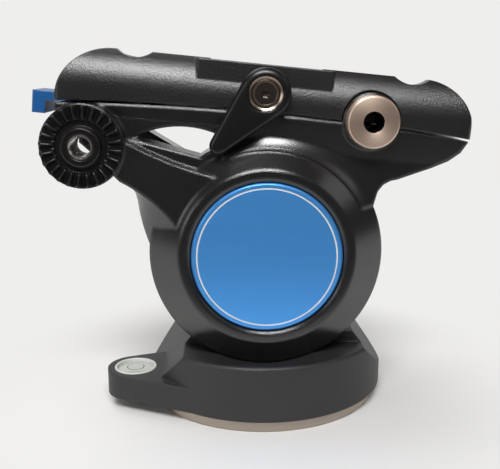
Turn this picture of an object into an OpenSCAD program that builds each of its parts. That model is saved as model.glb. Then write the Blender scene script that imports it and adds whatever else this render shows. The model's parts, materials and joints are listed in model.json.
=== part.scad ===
// Fluid video head: a pan base, a fixed tilt barrel with its drag discs and balance spring,
// and a tilting cradle that carries a dovetail plate clamp and a toothed handle seat on each side.
// Origin: centre of the base plate's underside, at the mouth of the tripod thread.
// +X is the lens side, +Y the operator's left, +Z is up. The cradle rests tipped nose down.

/* [Base plate] */
// Radius of the base plate
plate_r = 30; // [26:0.5:36]
// Thickness of the base plate's rim
plate_t = 3; // [2.5:0.25:5]
// Chamfer round the base plate's foot
plate_chamfer = 0.5; // [0.2:0.1:1]
// Radius of the tapped tripod hole (3/8-16 tapping drill)
tripod_bore_r = 3.97; // [2.6:0.01:4.4]
// Depth of the tripod hole
tripod_bore_depth = 9; // [6:0.5:11]
// Radius of the pan journal on the plate
journal_r = 10; // [8.5:0.25:11]
// Height of the pan journal above the plate
journal_h = 10; // [9.5:0.25:11]
// Radius of the threaded stub above the journal
stub_r = 6; // [5:0.25:7]

/* [Pan housing] */
// Running gap between the housing and the base plate
pan_gap = 0.3; // [0.2:0.05:0.5]
// How far the drum stands out past the plate
wall_overhang = 1.5; // [0.5:0.25:3]
// Height at which the drum's slopes cross its wall
wall_h = 4; // [3.9:0.1:5]
// Rounding of the drum's rim
wall_round = 0.8; // [0.4:0.1:1.5]
// How far in from the drum's wall the slopes stand at that height
neck_step = 2; // [1:0.1:2.2]
// Height of the slopes above it
neck_h = 12.2; // [11.5:0.1:14]
// How far each sloping side leans in
neck_taper = 9.6; // [8:0.1:10]
// How far the slopes sit forward of the pan axis
neck_shift = 2.3; // [0:0.1:3]
// Drop from the barrel's foot to the drum's rim
rim_drop = 2.7; // [2.2:0.1:3.5]
// Distance of the level's ear from the pan axis
ear_reach = 34.5; // [33:0.1:40]
// Direction of the level's ear, from the rear towards the operator's right
ear_angle = 19.5; // [0:0.5:40]
// Radius of the ear's end
ear_r = 7; // [6.4:0.1:8]
// Height of the ear
ear_h = 6.2; // [5.2:0.1:7]
// Radius of the spirit level
level_r = 5.3; // [4:0.1:5.8]
// Depth of the spirit level's seat
level_depth = 3.4; // [2.5:0.1:4]
// Thickness of the pan drag disc
drag_disc_t = 1.2; // [0.8:0.1:1.4]
// Film of damping grease beside a drag disc
film = 0.3; // [0.2:0.05:0.4]
// Wall of the pan bush
bush_wall = 2; // [1.5:0.1:2.5]
// Running clearance of every shaft in its bush
run_fit = 0.05; // [0.02:0.01:0.08]
// Radius of both lock screws
lock_screw_r = 2.4; // [1.8:0.1:2.4]
// Diameter of the pan lock's knob
pan_knob_d = 9; // [7:0.5:10]
// Length of the pan lock's knob
pan_knob_l = 9; // [6:0.5:14]

/* [Tilt barrel] */
// Height of the tilt axis above the neck
axis_rise = 22.25; // [21:0.25:28]
// Width of the tilt barrel
barrel_w = 30; // [26:0.5:36]
// How far the barrel stays inside the cradle's ring
barrel_margin = 4; // [3.5:0.25:5]
// Wall of the tilt barrel
barrel_wall = 6; // [4:0.25:7]
// Thickness of the barrel's middle web
web_t = 3; // [2:0.25:4]
// Thickness of the barrel's end covers
cover_t = 3; // [2:0.25:4]
// Radius of the tilt axle
axle_r = 5; // [4:0.25:6]
// Wall of the tilt bushes
tilt_bush_wall = 1.5; // [1:0.1:2]
// Thickness of each tilt drag disc
vane_t = 1.1; // [0.8:0.05:1.2]
// Pairs of tilt drag discs
vane_pairs = 3; // [1:1:3]
// Mean radius of the balance spring
spring_r = 11; // [10:0.25:12.5]
// Radius of the balance spring's wire
spring_wire_r = 1.1; // [0.8:0.05:1.2]
// Turns of the balance spring
spring_turns = 3; // [2:0.5:3]

/* [Cradle] */
// Nose-down tip of the cradle at rest, in degrees
tilt_pose = 5.6; // [0:0.1:15]
// Gap between the cradle's cheeks and the barrel
cheek_gap = 0.5; // [0.3:0.1:1]
// Radius of the blue side caps
cap_r = 17.3; // [15:0.1:19]
// Thickness of the side caps
cap_t = 1.6; // [1.2:0.1:2.4]
// Gap round and over each side cap
cap_gap = 0.2; // [0.1:0.05:0.4]
// Width of the dark bezel round each cap
bezel_w = 2.5; // [1.5:0.1:4]
// How much the cheek flares from the bezel to its rim
cheek_flare = 7; // [5:0.25:9]
// Depth of that flare
flare_depth = 5.5; // [4:0.25:6]
// Thickness of each cheek
cheek_t = 12.5; // [11.5:0.25:15]
// How far the clamp and deck reach behind the tilt axis
deck_back = 50; // [46:0.5:58]
// How far the clamp and deck reach ahead of the tilt axis
deck_front = 43; // [38:0.5:52]
// Thickness of the deck under the clamp
deck_t = 5.1; // [4.5:0.1:7]
// Half width of the deck's flank under the clamp
deck_flank = 24.2; // [23.6:0.1:27]
// Radius of the long arch of the deck's top
arch_r = 560; // [400:10:900]
// Seam between the deck and the clamp
seam = 0.5; // [0.2:0.05:0.6]

/* [Handle seats] */
// Distance of the handle seat behind the tilt axis
seat_back = 42.8; // [40:0.1:46]
// Drop of the handle seat below the deck's underside
seat_drop = 6.1; // [5:0.1:7]
// Outer radius of the handle seat's teeth
tooth_r = 9; // [8:0.1:9.6]
// Inner radius of the teeth
tooth_root_r = 5.8; // [5:0.1:6.5]
// Height of the teeth
tooth_h = 1.1; // [0.6:0.1:1.6]
// Number of teeth on a handle seat
teeth = 24; // [12:2:36]
// Thickness of the handle arm
arm_t = 6; // [4:0.25:7]
// Radius of the handle screw's tapped hole (M5 tapping drill)
handle_bore_r = 2.1; // [1.6:0.05:2.6]
// Wall of the threaded inserts
insert_wall = 0.6; // [0.4:0.1:1.2]

/* [Plate clamp] */
// Height of the clamp above the seam
clamp_h = 10.3; // [9.5:0.1:12]
// Floor of the clamp under the plate channel
clamp_floor = 3.7; // [3.2:0.1:4.4]
// Half width of the clamp's flanks
clamp_flank = 24.4; // [23.8:0.1:27]
// Rounding of the flanks towards the top
flank_round = 11; // [9:0.25:12]
// Half width of the plate channel at its mouth
mouth_w = 17.5; // [15:0.1:17.6]
// Undercut of the dovetail on each side
undercut = 2; // [1:0.1:2.2]
// Depth of the finger scallops in the clamp's rim
scallop_depth = 1.5; // [0.8:0.1:2]
// Width of the finger scallops
scallop_w = 8; // [5:0.25:10]
// Length of the lever's flat pad
pad_l = 30; // [26:0.5:34]
// Distance of the lever's pivot behind the tilt axis
lever_back = 4; // [2:0.25:6]
// Height of the lever's pivot above the seam
lever_rise = 3.9; // [3.6:0.1:4.5]
// Length of the lever between its end centres
lever_l = 16.3; // [12:0.1:16.6]
// Direction of the lever at rest, from the rear downwards
lever_angle = 53; // [40:1:56]
// Radius of the lever's pivot end
lever_big_r = 5.2; // [4.6:0.1:6]
// Radius of the lever's tip
lever_tip_r = 1.5; // [1:0.1:2.5]
// Thickness of the lever
lever_t = 3.2; // [2.6:0.1:4]
// Shank radius of the lever's bolt
bolt_r = 2; // [1.5:0.1:2.2]
// Opening stroke of the sliding jaw
jaw_stroke = 0.9; // [0.4:0.1:1]
// Length of the sliding jaw
jaw_l = 25; // [18:0.5:26]
// Distance of the accessory port ahead of the tilt axis
port_ahead = 20.1; // [18:0.1:24]
// Radius of the accessory port's flange
port_r = 5.8; // [5:0.1:6]
// Radius of the accessory port's tapped hole (M5 tapping drill)
port_bore_r = 2.1; // [1.6:0.05:2.6]
// How far the port stands out of the flank
port_proud = 3.4; // [2:0.1:4]

/* [Plate release] */
// How far the release tab stands out behind the deck
tab_out = 9; // [6:0.2:14]
// Half width of the release tab
tab_half_w = 6; // [4:0.25:8]
// Thickness of the release tab
tab_t = 2.2; // [1.6:0.1:2.4]
// Drop of the tab's finger lip
tab_lip = 5.4; // [3:0.1:7]
// Stroke of the release tab
tab_stroke = 2.5; // [1:0.1:3]
// Radius of the safety pin
pin_r = 1.5; // [1:0.1:2]

/* [Hidden] */
$fn = 64;

// Small shared clearances
play = 0.1;
snug = 0.02;
past = 1;

// Pan base, from the table up
housing_z = plate_t + pan_gap;
wall_r = plate_r + wall_overhang;
wall_top = housing_z + wall_h;
ear_top = housing_z + ear_h;
neck_top = wall_top + neck_h;
rim_z = neck_top - rim_drop;
neck_foot_r = wall_r - neck_step;
neck_top_r = neck_foot_r - neck_taper;
journal_top = plate_t + journal_h;
chamber_top = plate_t + drag_disc_t + film;
chamber_r = plate_r - 4;
bush_bore_r = journal_r + bush_wall;
bush_h = 2.6;
bush_top = journal_top - 0.2;
washer_t = 0.8;
washer_r = journal_r + 1.3;
nut_t = 3.2;
nut_r = journal_r + 0.5;
stub_top = journal_top + play + washer_t + nut_t + 0.6;
pan_lock_z = (chamber_top + bush_top - bush_h) / 2;
ear_c = [-ear_reach * cos(ear_angle), -ear_reach * sin(ear_angle)];
ear_inset = 0.4;
scoop_gap = 0.35;
lock_boss_wall = 1.5;
shoe_l = 5;
shoe_gap = 0.5;
knob_gap = 1.2;

// Barrel screws
foot_half = 18;
screw_r = 1.5;
screw_head_r = 2.6;
screw_head_h = 2.6;
screw_x = 16.5;
screw_y = 8;
screw_grip = 3;

// Tilt barrel, in the frame of the tilt axis
tilt_z = neck_top + axis_rise;
bezel_r = cap_r + cap_gap + bezel_w;
cheek_r = bezel_r + cheek_flare;
barrel_r = cheek_r - barrel_margin;
barrel_bore_r = barrel_r - barrel_wall;
barrel_end = barrel_w / 2;
tilt_bush_r = axle_r + tilt_bush_wall;
vane_pitch = vane_t + film;

// Cradle: w is the height above the tilt axis, u the distance ahead of it
cheek_in = barrel_end + cheek_gap;
face_y = cheek_in + cheek_t;
flare_y = face_y - flare_depth;
cap_face = face_y - cap_gap * 2;
cap_seat = cap_face - cap_t;
hub_wall = 4.5;
nut_face = cheek_in + hub_wall;
axle_nut_t = 3.6;
axle_nut_r = axle_r + 2.5;
arm_face = face_y - 1.2;
web_face = flare_y + 1.3;
neck_y = flare_y + 0.4;
deck_w = cheek_r + 0.4;
seam_w = deck_w + deck_t;
arch_u = (deck_front - deck_back) / 2;
window_u = -20.3;
window_r = 21.6;
right_window = [deck_w - 6.4, 0.17];
left_window = [deck_w - 12.8, 0.48];
left_rim_r = bezel_r + 2.6;
valley_r = 10;
corner_r = 2.4;
plan_spare = 0.4;

// Handle seats
seat_c = [-seat_back, deck_w - seat_drop];
boss_r = tooth_r + 0.3;
boss_face = arm_face + 0.6;
insert_r = handle_bore_r + insert_wall;
seat_base_t = 1;
seat_back_y = arm_face - arm_t;
arm_under_r = 34;
arm_over_r = 74;
left_over_r = 16;
arm_under = [seat_c + [8.6, -7.1], polar(bezel_r - 1.4, 175)];
arm_over = [polar(bezel_r + 1.2, 126), seat_c + [9.7, 1.7]];
skirt = [seat_c + [11.5, -8.6], polar(cheek_r - 3, 201)];
skirt_r = 44;
skirt_depth = 7;
skirt_steps = 20;

// Plate clamp
clamp_top = seam_w + clamp_h;
floor_w = seam_w + clamp_floor;
lip_h = 2.4;
slant_top = clamp_top - lip_h;
channel_w = mouth_w + undercut;
back_end_r = 12;
front_end_r = 11;
scallop_r = (pow(scallop_w / 2, 2) + pow(scallop_depth, 2)) / (2 * scallop_depth);
scallops = [-deck_back + 16.5, deck_front - 14.2];
far_scallops = [-deck_back + 13.3, deck_front - 5.2];
far_scallop_w = 14;
far_scallop_r = (pow(far_scallop_w / 2, 2) + pow(scallop_depth, 2)) / (2 * scallop_depth);
pivot = [-lever_back, seam_w + lever_rise];
pad_face = clamp_flank - 0.6;
pad_slant = 1.2;
pad_u = pivot[0] - 0.3;
jaw_back = channel_w + 1.5;
jaw_thick = 2.4;
jaw_rest = jaw_back - 0.6;
jaw_foot = seam_w + 0.9;
jaw_top = clamp_top - 0.4;
washer_in = pad_face + play;
lever_washer_t = 1;
lever_washer_r = bolt_r + 2;
spot_face_r = lever_washer_r + 0.3;
lever_in = washer_in + lever_washer_t + play;
lever_out = lever_in + lever_t;
bolt_head_r = 3;
bolt_seat_r = 3.9;
bolt_seat = lever_out - 1.8;
bolt_head_h = 1.4;
port_c = [port_ahead, seam_w + 0.1];
port_stem_r = port_bore_r + 1.8;
port_boss_r = port_r + 0.5;
port_seat = clamp_flank + 0.2;
port_stem_l = 3.8;
clamp_screw_u = [-deck_back + 19.5, deck_front - 17];
clamp_screw_y = 12;

// Plate release
tab_top = seam_w - 1.2;
tab_nose = -deck_back + 13.5;
tab_slot_end = tab_nose + tab_stroke + 1;
pin_u = -deck_back + 9.5;
pin_top = floor_w + 2;
pin_drop = 1.8;
pin_foot = tab_top - tab_t + play;

// Tilt lock, on the operator's left
lock_angle = 225;
lock_c = polar(bezel_r + 0.9, lock_angle);
pad_disc_r = lock_screw_r + 0.8;
pad_disc_t = 2;
lock_lever_l = 19;
lock_lever_t = 3;
lock_lever_gap = 0.6;
lock_hub_r = 5;
lock_tip_r = 2.5;

// Point at radius r and angle a in the plane of an outline
function polar(r, a) = [r * cos(a), r * sin(a)];

// Centre of the arc from p to q, to the left of that line for a positive radius
function arc_centre(p, q, r) =
    let (d = norm(q - p), n = [p[1] - q[1], q[0] - p[0]] / d)
    (p + q) / 2 + n * sign(r) * sqrt(r * r - d * d / 4);

// Points along that arc
function arc_points(p, q, r, steps) =
    let (
        c = arc_centre(p, q, r),
        a = atan2(p[1] - c[1], p[0] - c[0]),
        turn = (atan2(q[1] - c[1], q[0] - c[0]) - a + 540) % 360 - 180
    )
    [for (i = [0:steps]) c + polar(abs(r), a + turn * i / steps)];

// Triangles over a row of equal rings of points, closed by end faces unless it loops
function skin(rings, sides, loops = false) = concat(
    [
        for (i = [0:rings - (loops ? 1 : 2)], k = [0:sides - 1])
            let (a = i * sides, b = (i + 1) % rings * sides, n = (k + 1) % sides)
            each [[a + k, a + n, b + k], [a + n, b + n, b + k]]
    ],
    loops ? [] : [
        [for (k = [sides - 1:-1:0]) k],
        [for (k = [0:sides - 1]) (rings - 1) * sides + k]
    ]
);

// Carries an outline of (u, w) along Y
module along_y(y0, y1) {
    translate([0, y1, 0]) rotate([90, 0, 0]) linear_extrude(y1 - y0) children();
}

// Carries a cross-section of (y, w) along X
module along_x(x0, x1) {
    translate([x0, 0, 0]) rotate([90, 0, 90]) linear_extrude(x1 - x0) children();
}

// Turns a profile of (radius, distance out along -Y)
module turned() {
    rotate([90, 0, 0]) rotate_extrude() children();
}

// Round bar along Y at the point c of an outline
module bar(c, r, y0, y1, sides = 64) {
    translate([c[0], y1, c[1]]) rotate([90, 0, 0]) cylinder(r = r, h = y1 - y0, $fn = sides);
}

// Ring round Z
module ring(r_in, r_out, z0, z1) {
    translate([0, 0, z0]) rotate_extrude() translate([r_in, 0]) square([r_out - r_in, z1 - z0]);
}

// Two circles joined by their outer tangents
module teardrop(r, c, tip_r) {
    a = atan2(c[1], c[0]);
    b = acos((r - tip_r) / norm(c));
    circle(r);
    translate(c) circle(tip_r);
    polygon([polar(r, a - b), c + polar(tip_r, a - b), c + polar(tip_r, a + b), polar(r, a + b)]);
}

// Round wire wound about Z, standing on its own foot
module coil(r, wire_r, h, turns) {
    sides = 6;
    rings = round(turns * 16) + 1;
    polyhedron(
        [
            for (i = [0:rings - 1], k = [0:sides - 1])
                let (
                    t = i / (rings - 1),
                    p = polar(r + wire_r * cos(360 * k / sides), 360 * turns * t),
                    z = wire_r + (h - 2 * wire_r) * t
                )
                [p[0], p[1], z + wire_r * sin(360 * k / sides)]
        ],
        skin(rings, sides)
    );
}

// Moves a shape from the frame of the tilt axis to its place and tip at rest
module tilted() {
    translate([0, 0, tilt_z]) rotate([0, tilt_pose, 0]) children();
}

// Draws a shape on the operator's right, and mirrored on the left
module both_sides() {
    children();
    mirror([0, 1, 0]) children();
}

// Base plate, journal and stub, turned in one piece
module base_plate() {
    color("silver") difference() {
        rotate_extrude() polygon([
            [0, 0], [plate_r - plate_chamfer, 0], [plate_r, plate_chamfer], [plate_r, plate_t],
            [journal_r, plate_t], [journal_r, journal_top], [stub_r, journal_top],
            [stub_r, stub_top], [0, stub_top]
        ]);
        translate([0, 0, -past]) cylinder(r = tripod_bore_r, h = tripod_bore_depth + past);
    }
}

module pan_drag_disc() {
    color("gainsboro") ring(journal_r + snug, chamber_r - 1, plate_t, plate_t + drag_disc_t);
}

module pan_thrust_washer() {
    color("goldenrod") ring(stub_r + play, washer_r, journal_top + play, journal_top + play + washer_t);
}

module pan_nut() {
    z = journal_top + play + washer_t;
    color("dimgray") difference() {
        translate([0, 0, z]) cylinder(r = nut_r, h = nut_t, $fn = 6);
        translate([0, 0, z - past]) cylinder(r = stub_r + snug, h = nut_t + 2 * past);
    }
}

// Plan of the ear, along X from the pan axis: its front runs off the drum along a tangent
module ear_plan() {
    drum_r = wall_r - ear_inset;
    lean = acos((drum_r - ear_r) / ear_reach);
    translate([ear_reach, 0]) circle(ear_r);
    translate([0, -ear_r]) square([ear_reach, ear_r]);
    polygon([[0, 0], polar(drum_r, lean), [ear_reach, 0] + polar(ear_r, lean), [ear_reach, 0]]);
}

// Outline of the drum seen from the side, leaning in from its foot to the barrel's foot
module drum_sides() {
    foot_z = housing_z - past;
    foot_r = neck_foot_r + (wall_top - foot_z) * neck_taper / neck_h;
    translate([neck_shift, 0])
        polygon([[-foot_r, foot_z], [-neck_top_r, neck_top], [neck_top_r, neck_top], [foot_r, foot_z]]);
}

// Housing: drum with a level rim, an ear for the level, and hollows in which the cheeks swing
module pan_housing() {
    color("#2b2c2e") difference() {
        union() {
            intersection() {
                union() {
                    rotate_extrude() {
                        translate([0, housing_z]) square([wall_r - wall_round, rim_z - housing_z]);
                        translate([0, housing_z]) square([wall_r, rim_z - wall_round - housing_z]);
                        translate([wall_r - wall_round, rim_z - wall_round]) circle(wall_round);
                    }
                    translate([-wall_r, -barrel_end, rim_z - past])
                        cube([2 * wall_r, 2 * barrel_end, neck_top - rim_z + past]);
                }
                along_y(-2 * wall_r, 2 * wall_r) drum_sides();
            }
            translate([0, 0, housing_z]) rotate(180 + ear_angle) linear_extrude(ear_h) ear_plan();
            bar([0, pan_lock_z], lock_screw_r + lock_boss_wall, chamber_r - past, wall_r + knob_gap / 3);
        }
        bar([0, tilt_z], cheek_r + scoop_gap, -face_y - 2 * scoop_gap, -barrel_end);
        bar([0, tilt_z], cheek_r + scoop_gap, barrel_end, wall_r + past);
        translate([0, 0, housing_z - past]) cylinder(r = chamber_r, h = chamber_top - housing_z + past);
        translate([0, 0, housing_z]) cylinder(r = bush_bore_r - 0.8, h = neck_h + wall_h + past);
        translate([0, 0, bush_top - bush_h])
            cylinder(r = bush_bore_r, h = neck_top - bush_top + bush_h + past);
        translate([ear_c[0], ear_c[1], ear_top - level_depth])
            cylinder(r = level_r + play, h = level_depth + past);
        bar([0, pan_lock_z], lock_screw_r + run_fit, journal_r, wall_r + past);
        for (x = [-screw_x, screw_x], y = [-screw_y, screw_y]) translate([neck_shift + x, y, 0]) {
            translate([0, 0, housing_z]) cylinder(r = screw_r + play, h = neck_h + wall_h + past);
            translate([0, 0, housing_z])
                cylinder(r = screw_head_r + play, h = neck_top - screw_grip - housing_z);
        }
    }
}

module pan_bush() {
    color("peru") ring(journal_r + run_fit, bush_bore_r - snug, bush_top - bush_h, bush_top);
}

// Seal that wipes the gap under the housing's rim
module pan_seal() {
    color("#151515") ring(chamber_r - 0.7, chamber_r - snug, plate_t + 0.1, chamber_top - snug);
}

module level_cup() {
    z = ear_top - level_depth;
    color("whitesmoke") translate([ear_c[0], ear_c[1], 0]) {
        ring(0, level_r, z, z + 0.8);
        ring(level_r - 0.7, level_r, z, ear_top + 0.2);
    }
}

// Domed vial of the round level
module level_vial() {
    z = ear_top - level_depth + 0.8;
    r = level_r - 0.7 - snug;
    color("honeydew") translate([ear_c[0], ear_c[1], z]) intersection() {
        cylinder(r = r, h = level_depth);
        translate([0, 0, level_depth - 0.9 - 3 * r]) sphere(r = 3 * r, $fn = 128);
    }
}

// Fixed barrel on its foot, with a middle web that parts the drag discs from the spring
module tilt_barrel() {
    color("#26272a") translate([0, 0, tilt_z]) difference() {
        union() {
            difference() {
                along_y(-barrel_end, barrel_end) difference() {
                    union() {
                        circle(barrel_r);
                        polygon([
                            [neck_shift - foot_half, -barrel_r], [neck_shift + foot_half, -barrel_r],
                            [neck_shift + foot_half, -axis_rise * 0.6],
                            [neck_shift - foot_half, -axis_rise * 0.6]
                        ]);
                    }
                    translate([-2 * barrel_r, -axis_rise - 2 * barrel_r])
                        square([4 * barrel_r, 2 * barrel_r]);
                }
                bar([0, 0], barrel_bore_r, -barrel_end - past, barrel_end + past);
            }
            bar([0, 0], barrel_bore_r + past, -web_t / 2, web_t / 2);
        }
        bar([0, 0], axle_r + 0.6, -barrel_end, barrel_end);
        for (x = [-screw_x, screw_x], y = [-screw_y, screw_y])
            translate([neck_shift + x, y, -axis_rise - past])
                cylinder(r = screw_r + snug, h = screw_grip + 1.5 * past);
    }
}

module barrel_screws() {
    color("dimgray") for (x = [-screw_x, screw_x], y = [-screw_y, screw_y])
    translate([neck_shift + x, y, 0]) {
        translate([0, 0, neck_top - screw_grip - screw_head_h]) cylinder(r = screw_head_r, h = screw_head_h);
        translate([0, 0, neck_top - screw_grip - past]) cylinder(r = screw_r, h = 2 * screw_grip + past);
    }
}

// Cover of the barrel's end on the operator's right
module barrel_cover() {
    rotate([90, 0, 0]) ring(tilt_bush_r + snug, barrel_bore_r - snug, barrel_end - cover_t, barrel_end);
}

module tilt_bush() {
    rotate([90, 0, 0]) ring(axle_r + run_fit, tilt_bush_r, barrel_end - cover_t, barrel_end);
}

module right_barrel_cover() {
    color("darkgray") translate([0, 0, tilt_z]) barrel_cover();
}

module left_barrel_cover() {
    color("darkgray") translate([0, 0, tilt_z]) mirror([0, 1, 0]) barrel_cover();
}

module right_tilt_bush() {
    color("peru") translate([0, 0, tilt_z]) tilt_bush();
}

module left_tilt_bush() {
    color("peru") translate([0, 0, tilt_z]) mirror([0, 1, 0]) tilt_bush();
}

// Balance spring on the operator's left of the web
module balance_spring() {
    room = barrel_end - cover_t - web_t / 2 - 2 * play;
    color("slategray") translate([0, web_t / 2 + play + room, tilt_z]) rotate([90, 0, 0])
        coil(spring_r, spring_wire_r, room, spring_turns);
}

// Drag discs held in the barrel, from the right-hand cover inwards
module drag_stators() {
    color("gainsboro") translate([0, 0, tilt_z]) rotate([90, 0, 0]) for (i = [0:vane_pairs - 1]) {
        z = barrel_end - cover_t - film - (2 * i + 1) * vane_pitch;
        ring(axle_r + 2, barrel_bore_r - snug, z, z + vane_t);
    }
}

module drag_rotors() {
    color("lightsteelblue") tilted() rotate([90, 0, 0]) for (i = [0:vane_pairs - 1]) {
        z = barrel_end - cover_t - film - (2 * i + 2) * vane_pitch;
        ring(axle_r + snug, barrel_bore_r - 2, z, z + vane_t);
    }
}

// Everything under the arched seam, lowered by a gap
module under_arch(gap) {
    intersection() {
        translate([arch_u, seam_w - arch_r]) circle(arch_r - gap, $fn = 1440);
        children();
    }
}

// Side outline of the deck: flat behind, with a nose that sweeps down to the ring in front
module deck_outline() {
    under_arch(seam) polygon([
        [-deck_back, seam_w + past], [-deck_back, seam_w - 4.2], [-deck_back + 2.5, deck_w],
        [-cap_r * 0.7, deck_w], [-cap_r * 0.7, cap_r], [cap_r, cheek_r * 0.45],
        [cheek_r - 3.7, deck_w - 13.9], [cheek_r - 3, deck_w - 10.6], [cheek_r - 1.9, deck_w - 8.9],
        [cheek_r - 0.4, deck_w - 7.9], [cheek_r + 1.2, deck_w - 7.4],
        [deck_front - 7.3, deck_w - 4], [deck_front - 4, deck_w - 2.2],
        [deck_front - 1.6, deck_w], [deck_front - 0.4, seam_w - 2.6], [deck_front - 0.4, seam_w + past]
    ]);
}

// Plan that rounds the corners of the deck and the clamp and stays just clear of their sides
module plan(flank) {
    half_w = flank + plan_spare;
    back = -deck_back - plan_spare;
    front = deck_front + plan_spare;
    for (u = [back + corner_r, front - corner_r], y = [-half_w + corner_r, half_w - corner_r])
        translate([u, y]) circle(corner_r);
    translate([back, -half_w + corner_r]) square([front - back, 2 * (half_w - corner_r)]);
    translate([back + corner_r, -half_w]) square([front - back - 2 * corner_r, 2 * half_w]);
}

// Deck with flanks that draw in towards the ring, open between the cheeks
module deck() {
    difference() {
        intersection() {
            along_y(-deck_flank, deck_flank) deck_outline();
            along_x(-2 * deck_back, 2 * deck_front) polygon([
                [-deck_flank, seam_w + past], [-deck_flank, seam_w - 2], [-neck_y, deck_w - 3.5], [-neck_y, 0],
                [neck_y, 0], [neck_y, deck_w - 3.5], [deck_flank, seam_w - 2], [deck_flank, seam_w + past]
            ]);
            linear_extrude(2 * seam_w) plan(deck_flank);
        }
        along_y(-cheek_in, cheek_in) translate([-2 * deck_back, -past]) square([4 * deck_back, deck_w + past]);
    }
}

// Eye-shaped window between the deck and the handle arm, over a foot of given height and slope
module window(rim_r, foot) {
    difference() {
        intersection() {
            translate([window_u, deck_w - window_r]) circle(window_r);
            polygon([
                [-seat_back, foot[0] + foot[1] * (seat_back - cap_r)],
                [-cap_r * 0.6, foot[0] - foot[1] * cap_r * 0.4],
                [-cap_r * 0.6, seam_w], [-seat_back, seam_w]
            ]);
        }
        circle(rim_r + play);
    }
}

// Web that ties the handle arm to the deck, round the window
module web_outline(rim_r, foot) {
    difference() {
        under_arch(seam) polygon([
            seat_c + [-2, deck_w - seat_c[1] + past], seat_c + [-2, 0], seat_c + [6, -6], arm_under[0] + [4, 0],
            polar(bezel_r, 160), polar(bezel_r, 120), [-cap_r * 0.65, deck_w + past]
        ]);
        window(rim_r, foot);
    }
}

// Front of the handle arm, between a hollow edge below and a long sweep above
module arm_outline(over_r) {
    difference() {
        polygon([seat_c, arm_under[0], arm_under[1], [0, 0], arm_over[0], arm_over[1]]);
        translate(arc_centre(arm_under[0], arm_under[1], -arm_under_r)) circle(arm_under_r, $fn = 256);
        translate(arc_centre(arm_over[0], arm_over[1], -over_r)) circle(over_r, $fn = 512);
    }
}

// Slanting underside of the arm, from its front edge back to the ring
module arm_skirt() {
    inner = [polar(bezel_r * 0.7, 170), polar(bezel_r * 0.8, 140)];
    front = concat(arc_points(arm_under[0] + [0.6, 0.2], arm_under[1], -arm_under_r, skirt_steps), inner);
    back = concat(arc_points(skirt[0], skirt[1], skirt_r, skirt_steps), inner);
    polyhedron(
        concat(
            [for (p = front) [p[0], -arm_face + play, p[1]]],
            [for (p = back) [p[0], -arm_face + skirt_depth, p[1]]]
        ),
        skin(2, skirt_steps + 3)
    );
}

// Hollow that eases the deck's flank into the flare of the ring
module valley() {
    slope = atan2(flare_depth, cheek_flare);
    reach = valley_r * tan(slope / 2);
    intersection() {
        turned() difference() {
            polygon([
                [cheek_r - cheek_flare * 0.6, cheek_in], [cheek_r + reach, cheek_in], [cheek_r + reach, neck_y],
                [cheek_r - reach * cos(slope), neck_y + reach * sin(slope)],
                [cheek_r - cheek_flare * 0.6, neck_y]
            ]);
            translate([cheek_r + reach, neck_y + valley_r]) circle(valley_r, $fn = 128);
        }
        along_y(-face_y, -cheek_in) deck_outline();
    }
}

// Cheek on the operator's right: flared ring, web, handle arm and the boss of its seat
module cheek(rim_r, foot, over_r) {
    turned() polygon([
        [0, cheek_in], [rim_r, cheek_in], [rim_r, flare_y], [bezel_r, face_y], [0, face_y]
    ]);
    along_y(-web_face, -cheek_in) web_outline(rim_r, foot);
    along_y(-arm_face, -seat_back_y) arm_outline(over_r);
    arm_skirt();
    bar(seat_c, boss_r, -boss_face, -clamp_flank - 2 * play);
    along_y(-clamp_flank - 2 * play, -seat_back_y) under_arch(seam) translate(seat_c) circle(boss_r);
}

// Cast cradle: deck, two cheeks and the boss that carries the accessory port
module cradle() {
    color("#1d1e20") tilted() difference() {
        union() {
            deck();
            cheek(cheek_r, right_window, arm_over_r);
            valley();
            mirror([0, 1, 0]) cheek(left_rim_r, left_window, left_over_r);
            bar(lock_c, lock_hub_r, cheek_in, face_y);
            bar(port_c, port_boss_r, -port_seat, -port_seat + port_stem_l);
        }
        both_sides() {
            turned() polygon([
                [0, cap_seat], [cap_r + cap_gap, cap_seat], [cap_r + cap_gap, cap_face],
                [cap_r + cap_gap + bezel_w / 3, face_y + snug], [0, face_y + snug]
            ]);
            bar([0, 0], axle_nut_r + 1, -cap_seat - past, -nut_face);
            bar([0, 0], axle_r + snug, -nut_face - past, -cheek_in + past);
            bar(seat_c, insert_r + snug, -boss_face - past, -seat_back_y + past);
        }
        bar(port_c, port_stem_r + snug, -port_seat - past, -port_seat + port_stem_l + past);
        for (u = clamp_screw_u, y = [-clamp_screw_y, clamp_screw_y])
            translate([u, y, deck_w - past]) cylinder(r = screw_r + snug, h = deck_t + past);
        translate([-deck_back - past, -tab_half_w - play, tab_top - tab_t - play])
            cube([deck_back + past + tab_slot_end, 2 * (tab_half_w + play), deck_t + past]);
        translate([pin_u, 0, deck_w - past]) cylinder(r = pin_r + run_fit, h = deck_t);
        bar(lock_c, lock_screw_r + run_fit, cheek_in, face_y + past);
        bar(lock_c, pad_disc_r + play, cheek_in - past, cheek_in + pad_disc_t + past);
    }
}

// Blue side cap with a chamfered rim
module side_cap() {
    turned() polygon([
        [0, cap_seat], [cap_r, cap_seat], [cap_r, cap_face - 0.5], [cap_r - 0.5, cap_face], [0, cap_face]
    ]);
}

module right_cap() {
    color("#2d6fb8") tilted() side_cap();
}

module left_cap() {
    color("#2d6fb8") tilted() mirror([0, 1, 0]) side_cap();
}

module tilt_axle() {
    color("silver") tilted() bar([0, 0], axle_r, -nut_face - axle_nut_t, nut_face + axle_nut_t);
}

module axle_nuts() {
    color("dimgray") tilted() both_sides() difference() {
        bar([0, 0], axle_nut_r, -nut_face - axle_nut_t, -nut_face, 6);
        bar([0, 0], axle_r + snug, -nut_face - axle_nut_t - past, -nut_face + past);
    }
}

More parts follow.
